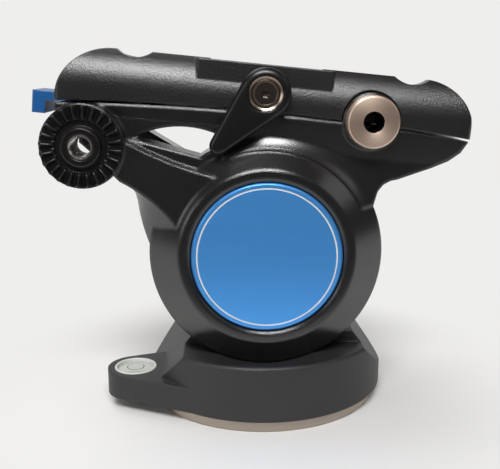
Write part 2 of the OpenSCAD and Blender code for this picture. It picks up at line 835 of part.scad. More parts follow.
// Ring of radial teeth, highest at the rim
module tooth_crown(z0) {
    stations = 2 * teeth;
    polyhedron(
        [
            for (i = [0:stations - 1])
                let (
                    a = 180 * i / teeth,
                    h = i % 2 == 0 ? tooth_h : 0.05,
                    p = polar(tooth_root_r, a),
                    q = polar(tooth_r, a)
                )
                each [
                    [p[0], p[1], z0 - 0.5], [q[0], q[1], z0 - 0.5],
                    [q[0], q[1], z0 + h], [p[0], p[1], z0 + h * tooth_root_r / tooth_r]
                ]
        ],
        skin(stations, 4, true)
    );
}

// Handle seat: toothed rim, groove and raised middle round the handle screw
module handle_seat() {
    translate([seat_c[0], -boss_face, seat_c[1]]) rotate([90, 0, 0]) difference() {
        union() {
            cylinder(r = tooth_r - 0.1, h = seat_base_t - 0.2);
            tooth_crown(seat_base_t);
            cylinder(r = tooth_root_r - 1.4, h = seat_base_t + tooth_h);
        }
        translate([0, 0, -past]) cylinder(r = insert_r + snug, h = seat_base_t + tooth_h + 2 * past);
    }
}

// Threaded steel insert of a handle seat
module insert() {
    translate([seat_c[0], -seat_back_y, seat_c[1]]) rotate([90, 0, 0])
        ring(handle_bore_r, insert_r, 0, boss_face - seat_back_y + seat_base_t + tooth_h - 0.2);
}

module right_handle_seat() {
    color("#141414") tilted() handle_seat();
}

module left_handle_seat() {
    color("#141414") tilted() mirror([0, 1, 0]) handle_seat();
}

module right_insert() {
    color("silver") tilted() insert();
}

module left_insert() {
    color("silver") tilted() mirror([0, 1, 0]) insert();
}

// Side outline of the clamp: arched foot, round ends and a finger scallop near each end
module clamp_outline() {
    foot_w = seam_w - 6;
    difference() {
        union() {
            translate([-deck_back + back_end_r, clamp_top - back_end_r]) circle(back_end_r);
            translate([deck_front - front_end_r, clamp_top - front_end_r]) circle(front_end_r);
            translate([-deck_back, foot_w]) square([back_end_r, clamp_top - back_end_r - foot_w]);
            translate([-deck_back + back_end_r, foot_w])
                square([deck_back + deck_front - back_end_r - front_end_r, clamp_top - foot_w]);
            translate([deck_front - front_end_r, foot_w]) square([front_end_r, clamp_top - front_end_r - foot_w]);
        }
        translate([arch_u, seam_w - arch_r]) circle(arch_r, $fn = 1440);
    }
}

// Finger scallops of one rim
module finger_scallops(places, r, y0, y1) {
    for (u = places) bar([u, clamp_top - scallop_depth + r], r, y0, y1, 128);
}

// Cross-section of the clamp: upright foot, flanks that roll in towards the top
module clamp_section() {
    round_w = seam_w + 2;
    translate([-clamp_flank, seam_w - 5]) square([2 * clamp_flank, 7]);
    translate([-clamp_flank + flank_round, round_w]) square([2 * (clamp_flank - flank_round), clamp_h]);
    for (side = [-1, 1]) translate([side * (clamp_flank - flank_round), round_w]) circle(flank_round);
}

// Flat pad that carries the lever, with slanting ends
module lever_pad() {
    translate([0, 0, seam_w + 1]) linear_extrude(clamp_h - 1.2) polygon([
        [pad_u - pad_l / 2 - pad_slant, -mouth_w - 1], [pad_u - pad_l / 2, -pad_face],
        [pad_u + pad_l / 2, -pad_face], [pad_u + pad_l / 2 + pad_slant, -mouth_w - 1]
    ]);
}

module clamp_body() {
    color("#202124") tilted() difference() {
        union() {
            intersection() {
                along_y(-clamp_flank, clamp_flank) clamp_outline();
                along_x(-2 * deck_back, 2 * deck_front) clamp_section();
                linear_extrude(2 * clamp_top) plan(clamp_flank);
            }
            lever_pad();
        }
        along_x(-2 * deck_back, 2 * deck_front) polygon([
            [-mouth_w, clamp_top + past], [-mouth_w, slant_top], [-channel_w, slant_top - undercut],
            [-channel_w, floor_w], [channel_w, floor_w], [channel_w, slant_top - undercut],
            [mouth_w, slant_top], [mouth_w, clamp_top + past]
        ]);
        translate([pivot[0] - jaw_l / 2 - 2 * play, -jaw_back - 0.6, jaw_foot - 2 * play])
            cube([jaw_l + 4 * play, jaw_back + 0.6 - mouth_w + 2, clamp_h]);
        finger_scallops(scallops, scallop_r, -clamp_flank, -mouth_w + past);
        finger_scallops(far_scallops, far_scallop_r, mouth_w - past, clamp_flank + past);
        bar(pivot, bolt_r + play, -pad_face - past, -jaw_back);
        bar(pivot, spot_face_r, -clamp_flank - past, -pad_face);
        bar(port_c, port_boss_r + 0.3, -port_seat - past, -port_seat + port_stem_l + 0.3);
        for (u = clamp_screw_u, y = [-clamp_screw_y, clamp_screw_y]) translate([u, y, 0]) {
            translate([0, 0, floor_w - screw_head_h - play]) cylinder(r = screw_head_r + play, h = clamp_h);
            translate([0, 0, seam_w - 5]) cylinder(r = screw_r + play, h = clamp_h);
        }
        translate([-deck_back - past, -tab_half_w - play, seam_w - 5])
            cube([past + deck_back + tab_slot_end, 2 * (tab_half_w + play), tab_top + play - seam_w + 5]);
        translate([pin_u, 0, seam_w - 5]) cylinder(r = pin_r + run_fit, h = clamp_h);
    }
}

module clamp_screws() {
    color("dimgray") tilted() for (u = clamp_screw_u, y = [-clamp_screw_y, clamp_screw_y])
    translate([u, y, 0]) {
        translate([0, 0, floor_w - screw_head_h - play]) cylinder(r = screw_head_r, h = screw_head_h);
        translate([0, 0, deck_w + 0.5]) cylinder(r = screw_r, h = floor_w - screw_head_h - deck_w - 0.5);
    }
}

// Turned accessory port: flange outside, stem in the cradle's boss
module accessory_port() {
    color("#c9bfb4") tilted() translate([port_c[0], 0, port_c[1]]) turned() polygon([
        [port_bore_r, port_seat - port_stem_l], [port_stem_r, port_seat - port_stem_l],
        [port_stem_r, port_seat + play], [port_r, port_seat + play],
        [port_r, port_seat + port_proud - 0.3], [port_r - 0.3, port_seat + port_proud],
        [port_bore_r + 0.25, port_seat + port_proud], [port_bore_r, port_seat + port_proud - 0.25]
    ]);
}

// Lever: one plate with a round pivot end and a narrow tip
module plate_lever() {
    color("#1b1b1c") tilted() difference() {
        translate([pivot[0], 0, pivot[1]]) along_y(-lever_out, -lever_in)
            teardrop(lever_big_r, -polar(lever_l, lever_angle), lever_tip_r);
        bar(pivot, bolt_r + snug, -lever_out - past, -lever_in + past);
        bar(pivot, bolt_seat_r, -lever_out - past, -bolt_seat);
    }
}

// Socket-head bolt of the lever, threaded into the jaw
module lever_bolt() {
    color("#6f6a66") tilted() difference() {
        union() {
            bar(pivot, bolt_head_r, -bolt_seat - bolt_head_h, -bolt_seat);
            bar(pivot, bolt_r, -bolt_seat - snug, -jaw_rest + jaw_thick - 0.3);
        }
        bar(pivot, bolt_r * 0.65, -bolt_seat - bolt_head_h - past, -bolt_seat - 0.3, 6);
    }
}

module lever_washer() {
    color("darkgray") tilted() translate([pivot[0], 0, pivot[1]]) rotate([90, 0, 0])
        ring(bolt_r + snug, lever_washer_r, washer_in, washer_in + lever_washer_t);
}

// Sliding jaw with the dovetail's slant on its inner face
module sliding_jaw() {
    inner = jaw_rest - jaw_thick;
    color("#3a3b3d") tilted() difference() {
        along_x(pivot[0] - jaw_l / 2, pivot[0] + jaw_l / 2) polygon([
            [-jaw_rest, jaw_foot], [-inner, jaw_foot], [-inner, slant_top - undercut],
            [-inner + undercut, slant_top], [-inner + undercut, jaw_top], [-jaw_rest, jaw_top]
        ]);
        bar(pivot, bolt_r + run_fit, -jaw_rest - past, -inner + past);
    }
}

// Blue release tab: tongue in the deck and a finger lip behind it
module release_tab() {
    color("#1a5fa8") tilted() difference() {
        union() {
            translate([-deck_back - tab_out, -tab_half_w, tab_top - tab_t])
                cube([deck_back + tab_out + tab_nose, 2 * tab_half_w, tab_t]);
            translate([-deck_back - tab_out, -tab_half_w, tab_top - tab_lip])
                cube([tab_t * 1.4, 2 * tab_half_w, tab_lip]);
        }
        translate([pin_u - tab_stroke - pin_r - 2 * play, -pin_r - 2 * play, tab_top - tab_t - past])
            cube([tab_stroke + 2 * pin_r + 4 * play, 2 * pin_r + 4 * play, tab_t + 2 * past]);
    }
}

module safety_pin() {
    color("silver") tilted() translate([pin_u, 0, 0]) rotate_extrude() polygon([
        [0, pin_foot], [pin_r, pin_foot], [pin_r, pin_top - 0.5], [pin_r - 0.5, pin_top], [0, pin_top]
    ]);
}

// Tilt lock's lever: hub and a tapered arm that points up at rest
module tilt_lock_lever() {
    y0 = face_y + lock_lever_gap;
    color("#1b1b1c") tilted() difference() {
        union() {
            bar(lock_c, lock_hub_r, y0, y0 + lock_lever_t + 1.2);
            translate([lock_c[0], 0, lock_c[1]]) along_y(y0, y0 + lock_lever_t) {
                translate([0, lock_lever_l]) circle(lock_tip_r);
                polygon([
                    [-lock_hub_r * 0.8, 0], [lock_hub_r * 0.8, 0],
                    [lock_tip_r, lock_lever_l], [-lock_tip_r, lock_lever_l]
                ]);
            }
        }
        bar(lock_c, lock_screw_r + snug, y0 - past, y0 + lock_lever_t);
    }
}

module tilt_lock_screw() {
    color("dimgray") tilted() bar(
        lock_c, lock_screw_r, cheek_in + pad_disc_t + 2 * play, face_y + lock_lever_gap + lock_lever_t - play
    );
}

module tilt_brake_pad() {
    color("saddlebrown") tilted() bar(lock_c, pad_disc_r, cheek_in, cheek_in + pad_disc_t);
}

// Pan lock's knob: round hub with two wings
module pan_lock_knob() {
    y0 = wall_r + knob_gap;
    color("#1b1b1c") difference() {
        union() {
            bar([0, pan_lock_z], pan_knob_d / 2, y0, y0 + pan_knob_l);
            translate([-pan_knob_d * 0.7, y0 + pan_knob_l * 0.35, pan_lock_z - 1.2])
                cube([1.4 * pan_knob_d, pan_knob_l * 0.65, 2.4]);
        }
        bar([0, pan_lock_z], lock_screw_r + snug, y0 - past, y0 + pan_knob_l * 0.7);
    }
}

module pan_lock_screw() {
    color("dimgray") bar(
        [0, pan_lock_z], lock_screw_r,
        journal_r + shoe_gap + shoe_l + 2 * play, wall_r + knob_gap + pan_knob_l * 0.7 - play
    );
}

module pan_brake_shoe() {
    y0 = journal_r + shoe_gap;
    color("saddlebrown") bar([0, pan_lock_z], lock_screw_r, y0, y0 + shoe_l);
}

base_plate();
pan_drag_disc();
pan_thrust_washer();
pan_nut();
pan_housing();
pan_bush();
pan_seal();
level_cup();
level_vial();
tilt_barrel();
barrel_screws();
right_barrel_cover();
left_barrel_cover();
right_tilt_bush();
left_tilt_bush();
balance_spring();
drag_stators();
cradle();
right_cap();
left_cap();
tilt_axle();
axle_nuts();
drag_rotors();
right_handle_seat();
left_handle_seat();
right_insert();
left_insert();
clamp_body();
clamp_screws();
accessory_port();
plate_lever();
lever_bolt();
lever_washer();
sliding_jaw();
release_tab();
safety_pin();
tilt_lock_lever();
tilt_lock_screw();
tilt_brake_pad();
pan_lock_knob();
pan_lock_screw();
pan_brake_shoe();
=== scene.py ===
"""Looks of a fluid video head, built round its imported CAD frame.

Metres throughout. +X is the lens side, +Y the operator's left, +Z is up.
"""

import json
import math

import bpy
import bmesh
import numpy as np
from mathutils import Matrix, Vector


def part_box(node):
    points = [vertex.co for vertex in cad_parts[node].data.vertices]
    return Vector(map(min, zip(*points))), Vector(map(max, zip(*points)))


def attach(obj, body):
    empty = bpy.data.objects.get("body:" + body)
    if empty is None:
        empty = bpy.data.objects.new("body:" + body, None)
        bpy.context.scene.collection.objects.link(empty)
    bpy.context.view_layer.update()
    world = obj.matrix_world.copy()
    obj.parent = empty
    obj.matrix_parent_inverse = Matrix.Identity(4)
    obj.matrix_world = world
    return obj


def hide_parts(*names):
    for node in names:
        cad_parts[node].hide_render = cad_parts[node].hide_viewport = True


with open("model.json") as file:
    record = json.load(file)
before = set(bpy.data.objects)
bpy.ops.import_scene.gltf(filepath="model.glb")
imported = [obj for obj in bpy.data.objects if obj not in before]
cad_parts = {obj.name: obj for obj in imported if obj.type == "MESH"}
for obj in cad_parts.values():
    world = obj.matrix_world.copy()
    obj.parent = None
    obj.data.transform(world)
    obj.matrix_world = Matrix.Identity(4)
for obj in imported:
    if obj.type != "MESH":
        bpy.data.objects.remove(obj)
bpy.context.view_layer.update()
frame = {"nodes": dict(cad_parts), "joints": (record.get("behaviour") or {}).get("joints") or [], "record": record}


# Base plate
# The flat disc that the tripod screw pulls against, with the journal that the head pans on.
# Aluminium, turned in one chucking: the tool leaves fine rings on its faces and rim.

MM = 0.001
mounts = {m["name"]: m for m in frame["record"]["mounts"]}


def surface(name, points, around=True, sharp=35.0):
    """Mesh over a grid of points: each cell of four neighbours is one face.

    The last column joins the first when the surface goes around. Points that coincide, such as
    those at a pole, are merged, and the faces are then turned outwards."""
    rows, cols = points.shape[:2]
    i, j = np.meshgrid(np.arange(rows - 1), np.arange(cols if around else cols - 1), indexing="ij")
    k = (j + 1) % cols
    quads = np.stack([i * cols + j, i * cols + k, (i + 1) * cols + k, (i + 1) * cols + j], -1)
    mesh = bpy.data.meshes.new(name)
    mesh.from_pydata(points.reshape(-1, 3).tolist(), [], quads.reshape(-1, 4).tolist())
    work = bmesh.new()
    work.from_mesh(mesh)
    bmesh.ops.remove_doubles(work, verts=work.verts, dist=1e-7)
    bmesh.ops.recalc_face_normals(work, faces=work.faces)
    work.to_mesh(mesh)
    work.free()
    mesh.shade_smooth()
    mesh.set_sharp_from_angle(angle=math.radians(sharp))
    piece = bpy.data.objects.new(name, mesh)
    bpy.context.scene.collection.objects.link(piece)
    return piece


def rounded(profile, cut, steps=4):
    """The profile with each inner corner replaced by a small curve.

    The curve is the quadratic Bezier of the two points that lie cut away from the corner along its
    edges, with the corner as its handle. A cut never takes more than 0.45 of an edge."""
    p = np.asarray(profile, float)
    a, c, b = p[:-2], p[1:-1], p[2:]
    back, ahead = a - c, b - c
    back_l = np.linalg.norm(back, axis=1, keepdims=True)
    ahead_l = np.linalg.norm(ahead, axis=1, keepdims=True)
    start = c + back / back_l * np.minimum(cut, 0.45 * back_l)
    end = c + ahead / ahead_l * np.minimum(cut, 0.45 * ahead_l)
    t = np.linspace(0, 1, steps + 1)[None, :, None]
    curve = (1 - t) ** 2 * start[:, None] + 2 * t * (1 - t) * c[:, None] + t**2 * end[:, None]
    return np.vstack([p[:1], curve.reshape(-1, 2), p[-1:]])


def upright(x, y, z):
    """Points of a piece that stands on the pan axis, in the frame's own axes."""
    return np.stack(np.broadcast_arrays(x, y, z), -1)


def lathe(name, profile, place, turns=160, sharp=35.0):
    """Surface of revolution: each profile point (radius, height) goes once round the axis."""
    a = np.linspace(0, 2 * np.pi, turns, endpoint=False)[None, :]
    r, h = np.asarray(profile, float).T[:, :, None]
    return surface(name, place(r * np.cos(a), r * np.sin(a), h + 0 * a), sharp=sharp)


def node(tree, kind, **settings):
    """A shader node with its settings; a name that is no setting of the node fills the input so called."""
    n = tree.nodes.new("ShaderNode" + kind)
    for key, value in settings.items():
        if hasattr(n, key):
            setattr(n, key, value)
        else:
            n.inputs[key.replace("_", " ")].default_value = value
    return n


def wire(tree, *pairs):
    """Links each pair of an output and an input."""
    for output, entry in pairs:
        tree.links.new(output, entry)


def node_group(name, inputs, outputs):
    """A new node group with named sockets: (group, what it is given, what it puts out).

    Inputs are (kind, name, starting value) and outputs (kind, name)."""
    g = bpy.data.node_groups.new(name, "ShaderNodeTree")
    for kind, title, value in inputs:
        s = g.interface.new_socket(name=title, in_out="INPUT", socket_type="NodeSocket" + kind)
        s.default_value = value
    for kind, title in outputs:
        g.interface.new_socket(name=title, in_out="OUTPUT", socket_type="NodeSocket" + kind)
    return g, g.nodes.new("NodeGroupInput").outputs, g.nodes.new("NodeGroupOutput").inputs


def turned_rings_group():
    """Lathe marks: rings round an axis, as the distance from the axis through a fine noise.

    Axis point and direction are inputs; the height is noise of (distance, place along the axis)."""
    g, given, out = node_group(
        "turned_rings",
        [
            ("Vector", "Centre", (0, 0, 0)),
            ("Vector", "Axis", (0, 0, 1)),
            ("Float", "Rings per metre", 9000.0),
        ],
        [("Float", "Height"), ("Float", "Radius")],
    )
    where = node(g, "TexCoord")
    offset = node(g, "VectorMath", operation="SUBTRACT")
    along = node(g, "VectorMath", operation="DOT_PRODUCT")
    shadow = node(g, "VectorMath", operation="SCALE")
    radial = node(g, "VectorMath", operation="SUBTRACT")
    radius = node(g, "VectorMath", operation="LENGTH")
    flat = node(g, "CombineXYZ")
    noise = node(g, "TexNoise", noise_dimensions="2D", Detail=3.0, Roughness=0.6)
    wire(
        g,
        (where.outputs["Object"], offset.inputs[0]),
        (given["Centre"], offset.inputs[1]),
        (offset.outputs["Vector"], along.inputs[0]),
        (given["Axis"], along.inputs[1]),
        (given["Axis"], shadow.inputs[0]),
        (along.outputs["Value"], shadow.inputs["Scale"]),
        (offset.outputs["Vector"], radial.inputs[0]),
        (shadow.outputs["Vector"], radial.inputs[1]),
        (radial.outputs["Vector"], radius.inputs[0]),
        (radius.outputs["Value"], flat.inputs["X"]),
        (along.outputs["Value"], flat.inputs["Y"]),
        (flat.outputs["Vector"], noise.inputs["Vector"]),
        (given["Rings per metre"], noise.inputs["Scale"]),
        (noise.outputs["Fac"], out["Height"]),
        (radius.outputs["Value"], out["Radius"]),
    )
    return g


turned_rings = turned_rings_group()


def finish_of(name, metallic=0.0, specular=0.5):
    """A new material with a Principled shader: (material, tree, shader)."""
    m = bpy.data.materials.new(name)
    m.use_nodes = True
    shader = m.node_tree.nodes["Principled BSDF"]
    shader.inputs["Metallic"].default_value = metallic
    shader.inputs["Specular IOR Level"].default_value = specular
    return m, m.node_tree, shader


def placed(tree, group, **values):
    """A node group in a material, with its inputs set."""
    n = tree.nodes.new("ShaderNodeGroup")
    n.node_tree = group
    for key, value in values.items():
        n.inputs[key.replace("_", " ")].default_value = value
    return n


def between(tree, mask, low, high):
    """Output that runs from low to high along a mask. An end is a number, a colour or another output."""
    number = isinstance(low, float)
    mix = node(tree, "Mix", data_type="FLOAT" if number else "RGBA")
    low_input, high_input, result = (2, 3, 0) if number else (6, 7, 2)
    for index, end in ((low_input, low), (high_input, high)):
        if isinstance(end, bpy.types.NodeSocket):
            wire(tree, (end, mix.inputs[index]))
        else:
            mix.inputs[index].default_value = end if number else (*end, 1.0)
    wire(tree, (mask, mix.inputs[0]))
    return mix.outputs[result]


def toned(colour, factor):
    """The colour made darker or lighter by a factor."""
    return tuple(factor * c for c in colour)


# Near black for the inside of a deep bore: painted shade.
deep_bore_shade = (0.012, 0.011, 0.01)


def turned_metal(
    name, colour, centre, axis, roughness, depth=0.01 * MM, spread=0.0, bore=0.0, inner=deep_bore_shade
):
    """Bright metal with lathe rings about an axis: the rings move the roughness and the bump.

    Spread draws reflections out along the radius, across the tool marks. Within the bore's radius
    the metal has the inner colour, by default near black: a painted shade for the inside of a deep hole."""
    m, tree, shader = finish_of(name, metallic=1.0)
    marks = placed(tree, turned_rings, Centre=centre, Axis=axis)
    rings = marks.outputs["Height"]
    bump = node(tree, "Bump", Strength=0.35, Distance=depth)
    tone = between(tree, rings, toned(colour, 0.86), colour)
    # Within the bore's radius the base colour turns to the inner one, by default the painted shade of a deep hole.
    if bore:
        inside = node(tree, "Math", operation="LESS_THAN")
        inside.inputs[1].default_value = bore
        wire(tree, (marks.outputs["Radius"], inside.inputs[0]))
        tone = between(tree, inside.outputs[0], tone, inner)
    if spread:
        shader.inputs["Anisotropic"].default_value = spread
        where = node(tree, "TexCoord")
        radial = node(tree, "VectorMath", operation="SUBTRACT")
        radial.inputs[1].default_value = centre
        wire(
            tree,
            (where.outputs["Object"], radial.inputs[0]),
            (radial.outputs["Vector"], shader.inputs["Tangent"]),
        )
    wire(
        tree,
        (rings, bump.inputs["Height"]),
        (bump.outputs["Normal"], shader.inputs["Normal"]),
        (between(tree, rings, *roughness), shader.inputs["Roughness"]),
        (tone, shader.inputs["Base Color"]),
    )
    return m


def dress(piece, material):
    """Puts a material on a piece or a CAD node, in place of any it has."""
    piece.data.materials.clear()
    piece.data.materials.append(material)


def fit(piece, body, slot, *replaced):
    """Fixes a finished piece to its body and hides the CAD nodes it stands for. The slot is not used."""
    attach(piece, body)
    if replaced:
        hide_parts(*replaced)


def corners(name):
    """Lowest and highest corner of a CAD node's box."""
    return [np.array(c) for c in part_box(name)]


plate_r, _, plate_top = corners("base_plate")[1]
plate_t, plate_chamfer = 3.0 * MM, 0.5 * MM
journal_r, journal_top, stub_r = 10.0 * MM, 13.0 * MM, 6.0 * MM
thread_r = mounts["tripod_thread"]["dims"]["r_mm"] * MM
thread_l = mounts["tripod_thread"]["dims"]["length_mm"] * MM
thread_chamfer = 0.6 * MM
grooves = np.linspace(16, 27, 12) * MM
groove_half, groove_slope, groove_depth = 0.25 * MM, 0.05 * MM, 0.25 * MM
groove_mouth = groove_half + groove_slope
groove_steps = np.stack([
    np.repeat(grooves, 4) + np.tile([-groove_mouth, -groove_half, groove_half, groove_mouth], len(grooves)),
    np.tile([0, groove_depth, groove_depth, 0], len(grooves)),
], -1)
base_plate = lathe("base_plate_turned", rounded(np.vstack([
    [(0, thread_l), (thread_r, thread_l), (thread_r, thread_chamfer), (thread_r + thread_chamfer, 0)],
    groove_steps,
    [(plate_r - plate_chamfer, 0), (plate_r, plate_chamfer), (plate_r, plate_t), (journal_r, plate_t),
     (journal_r, journal_top), (stub_r, journal_top), (stub_r, plate_top), (0, plate_top)],
]), 0.1 * MM, steps=2), upright)
dress(base_plate, turned_metal(
    "plate_satin_aluminium", (0.47, 0.405, 0.345), (0, 0, 0), (0, 0, 1), (0.36, 0.5)
))
fit(base_plate, "base", "plate_metal", "base_plate")


# Pan housing
# The drum that turns on the plate, with sloping sides, a level rim and an ear for the spirit level.
# Die-cast aluminium under a matte dark grey powder coat.

nodes = frame["nodes"]


def soft_edges_group():
    """Edges as paint and tumbling leave them: a normal rounded over the given radius, and a mask
    that is 0 on flat faces and rises to 1 where the rounded normal leaves the true one."""
    g, given, out = node_group(
        "soft_edges", [("Float", "Radius", 0.4 * MM)], [("Vector", "Normal"), ("Float", "Edge")]
    )
    bevel = node(g, "Bevel", samples=6)
    true = node(g, "NewGeometry")
    match = node(g, "VectorMath", operation="DOT_PRODUCT")
    mask = node(g, "MapRange", interpolation_type="SMOOTHSTEP", From_Min=0.995, From_Max=0.85)
    wire(
        g,
        (given["Radius"], bevel.inputs["Radius"]),
        (bevel.outputs["Normal"], match.inputs[0]),
        (true.outputs["Normal"], match.inputs[1]),
        (match.outputs["Value"], mask.inputs["Value"]),
        (bevel.outputs["Normal"], out["Normal"]),
        (mask.outputs["Result"], out["Edge"]),
    )
    return g


def coat_grain_group():
    """Fine grain of a coat or a casting: two noises in Object space.

    Height carries the fine one for a Bump node, and Tone the slow change of shade over a piece."""
    g, given, out = node_group(
        "coat_grain", [("Float", "Grains per metre", 3000.0)], [("Float", "Height"), ("Float", "Tone")]
    )
    where = node(g, "TexCoord")
    fine = node(g, "TexNoise", Detail=2.0, Roughness=0.55)
    slow = node(g, "TexNoise", Scale=60.0, Detail=3.0)
    wire(
        g,
        (where.outputs["Object"], fine.inputs["Vector"]),
        (where.outputs["Object"], slow.inputs["Vector"]),
        (given["Grains per metre"], fine.inputs["Scale"]),
        (fine.outputs["Fac"], out["Height"]),
        (slow.outputs["Fac"], out["Tone"]),
    )
    return g


soft_edges = soft_edges_group()
coat_grain = coat_grain_group()


def coated(name, colour, roughness, grains, depth, edge_r, edge_lift, sheen=0.5):
    """Powder coat or paint: grain in the bump, a slow drift of shade, and edges rubbed a little paler."""
    m, tree, shader = finish_of(name, specular=sheen)
    edges = placed(tree, soft_edges, Radius=edge_r)
    grain = placed(tree, coat_grain, Grains_per_metre=grains)
    tone = grain.outputs["Tone"]
    bump = node(tree, "Bump", Strength=0.5, Distance=depth)
    drift = between(tree, tone, toned(colour, 0.85), toned(colour, 1.15))
    rubbed = tuple(c + edge_lift for c in colour)
    wire(
        tree,
        (grain.outputs["Height"], bump.inputs["Height"]),
        (edges.outputs["Normal"], bump.inputs["Normal"]),
        (bump.outputs["Normal"], shader.inputs["Normal"]),
        (between(tree, tone, roughness - 0.05, roughness + 0.05), shader.inputs["Roughness"]),
        (between(tree, edges.outputs["Edge"], drift, rubbed), shader.inputs["Base Color"]),
    )
    return m


housing_coat = coated(
    "housing_matte_coat", (0.02, 0.02, 0.0205), roughness=0.5, grains=5200, depth=0.02 * MM,
    edge_r=0.6 * MM, edge_lift=0.01,
)
dress(nodes["pan_housing"], housing_coat)
dress(nodes["tilt_barrel"], housing_coat)


# Spirit level
# A bought round level, pressed into the ear: white cup, clear dome over pale liquid, one bubble.
# The cup and the dome are moulded plastic.

cup_low, cup_high = corners("level_cup")
level_c = (cup_low + cup_high) / 2
level_r = (cup_high[0] - cup_low[0]) / 2
cup_h, cup_wall, cup_floor = cup_high[2] - cup_low[2], 0.7 * MM, 0.8 * MM
dome_r = level_r - cup_wall - 0.03 * MM
dome_top, dome_crown = cup_h - 0.2 * MM, 0.5 * MM
bubble_r, bubble_w = 2.1 * MM, 0.12 * MM


def at_level(x, y, z):
    """Points about the level's own axis, with heights from the cup's foot."""
    return upright(level_c[0] + x, level_c[1] + y, cup_low[2] + z)


def ring_mask(tree, marks, radius, half_width):
    """Mask of a thin ring: 1 where the distance from the marks' axis is within half_width of the radius."""
    mask = node(tree, "Math", operation="COMPARE")
    mask.inputs[1].default_value = radius
    mask.inputs[2].default_value = half_width
    wire(tree, (marks.outputs["Radius"], mask.inputs[0]))
    return mask.outputs[0]


def level_white_finish():
    """White moulded plastic with a slow drift of shade and a fine grain in its gloss."""
    m, tree, shader = finish_of("level_white_plastic")
    grain = placed(tree, coat_grain, Grains_per_metre=4000)
    white = between(tree, grain.outputs["Tone"], (0.58, 0.59, 0.575), (0.65, 0.66, 0.64))
    wire(
        tree,
        (white, shader.inputs["Base Color"]),
        (between(tree, grain.outputs["Height"], 0.3, 0.42), shader.inputs["Roughness"]),
    )
    return m


def level_liquid_finish():
    """Pale liquid under a clear glossy dome, with the bubble's dark edge as a thin ring."""
    m, tree, shader = finish_of("level_pale_liquid")
    marks = placed(tree, turned_rings, Centre=tuple(level_c), Axis=(0, 0, 1), Rings_per_metre=400)
    edge = ring_mask(tree, marks, bubble_r, bubble_w)
    wire(
        tree,
        (between(tree, edge, (0.48, 0.51, 0.45), (0.05, 0.05, 0.05)), shader.inputs["Base Color"]),
        (between(tree, marks.outputs["Height"], 0.06, 0.12), shader.inputs["Roughness"]),
    )
    shader.inputs["Coat Weight"].default_value = 0.6
    return m


level_cup = lathe("level_cup_moulded", rounded([
    (0, 0), (level_r, 0), (level_r, cup_h), (level_r - cup_wall, cup_h),
    (level_r - cup_wall, cup_floor), (0, cup_floor),
], 0.25 * MM), at_level, turns=96)
dress(level_cup, level_white_finish())
fit(level_cup, "pan", "level_white", "level_cup")

inward = np.linspace(0, 1, 13)[1:]
level_dome = lathe("level_dome", np.vstack([
    [(0, cup_floor), (dome_r, cup_floor), (dome_r, dome_top - dome_crown)],
    np.stack([dome_r * (1 - inward), dome_top - dome_crown * (1 - inward) ** 2], -1),
]), at_level, turns=96)
dress(level_dome, level_liquid_finish())
fit(level_dome, "pan", "level_glass", "level_vial")


# Tilt barrel's inside and the pan's hidden stack
# Drag discs, bushes, covers, spring and nuts, closed in by the castings.
# Steel, aluminium and sintered bronze, left as machined.


def machined(name, colour, roughness, grains):
    """Bare machined metal: a slow stain in its shade and a fine grain in its roughness."""
    m, tree, shader = finish_of(name, metallic=1.0)
    grain = placed(tree, coat_grain, Grains_per_metre=grains)
    fine = grain.outputs["Height"]
    bump = node(tree, "Bump", Strength=0.25, Distance=0.01 * MM)
    wire(
        tree,
        (fine, bump.inputs["Height"]),
        (bump.outputs["Normal"], shader.inputs["Normal"]),
        (between(tree, grain.outputs["Tone"], toned(colour, 0.8), colour), shader.inputs["Base Color"]),
        (between(tree, fine, roughness - 0.08, roughness + 0.08), shader.inputs["Roughness"]),
    )
    return m


seal_rubber = coated(
    "seal_rubber", (0.012, 0.012, 0.012), roughness=0.7, grains=4000, depth=0.02 * MM,
    edge_r=0.2 * MM, edge_lift=0.0,
)
brake_fibre = coated(
    "brake_fibre", (0.16, 0.09, 0.045), roughness=0.8, grains=1800, depth=0.08 * MM,
    edge_r=0.2 * MM, edge_lift=0.02,
)
bare_steel = machined("bare_steel", (0.56, 0.56, 0.57), 0.32, 2500)
lapped_aluminium = machined("lapped_aluminium", (0.68, 0.69, 0.7), 0.35, 4000)
sintered_bronze = machined("sintered_bronze", (0.62, 0.42, 0.22), 0.45, 6000)
black_oxide = machined("black_oxide_steel", (0.12, 0.115, 0.11), 0.35, 3000)
for finish, names in (
    (bare_steel, "pan_nut balance_spring tilt_axle axle_nuts safety_pin lever_washer"),
    (lapped_aluminium, "pan_drag_disc right_barrel_cover left_barrel_cover drag_stators drag_rotors"),
    (sintered_bronze, "pan_thrust_washer pan_bush right_tilt_bush left_tilt_bush"),
    (black_oxide, "barrel_screws clamp_screws tilt_lock_screw pan_lock_screw"),
    (seal_rubber, "pan_seal"),
    (brake_fibre, "tilt_brake_pad pan_brake_shoe"),
):
    for name in names.split():
        dress(nodes[name], finish)


# Cradle
# The casting that tilts: arched deck, flared ring on each side, handle arm and eye window.
# Die-cast aluminium, fettled smooth and painted satin black.

dress(nodes["cradle"], coated(
    "cradle_satin_paint", (0.007, 0.007, 0.0073), roughness=0.21, grains=4200, depth=0.03 * MM,
    edge_r=1.2 * MM, edge_lift=0.003, sheen=1.0,
))

joints = {j["name"]: j for j in frame["joints"]}
tilt_c = np.array(joints["tilt_swing"]["pos_m"])
ahead = np.array(mounts["plate_channel"]["axis"])
leftward = np.array([0.0, 1.0, 0.0])
above = np.array([-ahead[2], 0.0, ahead[0]])


def on_cradle(u, y, w):
    """Points of the cradle's own frame: u ahead along the deck, y to the left, w above the tilt axis."""
    u, y, w = np.broadcast_arrays(u, y, w)
    return tilt_c + u[..., None] * ahead + y[..., None] * leftward + w[..., None] * above


def spot(point):
    """(u, w) of a point of the frame, in the cradle's own frame."""
    d = np.asarray(point) - tilt_c
    return float(d @ ahead), float(d @ above)


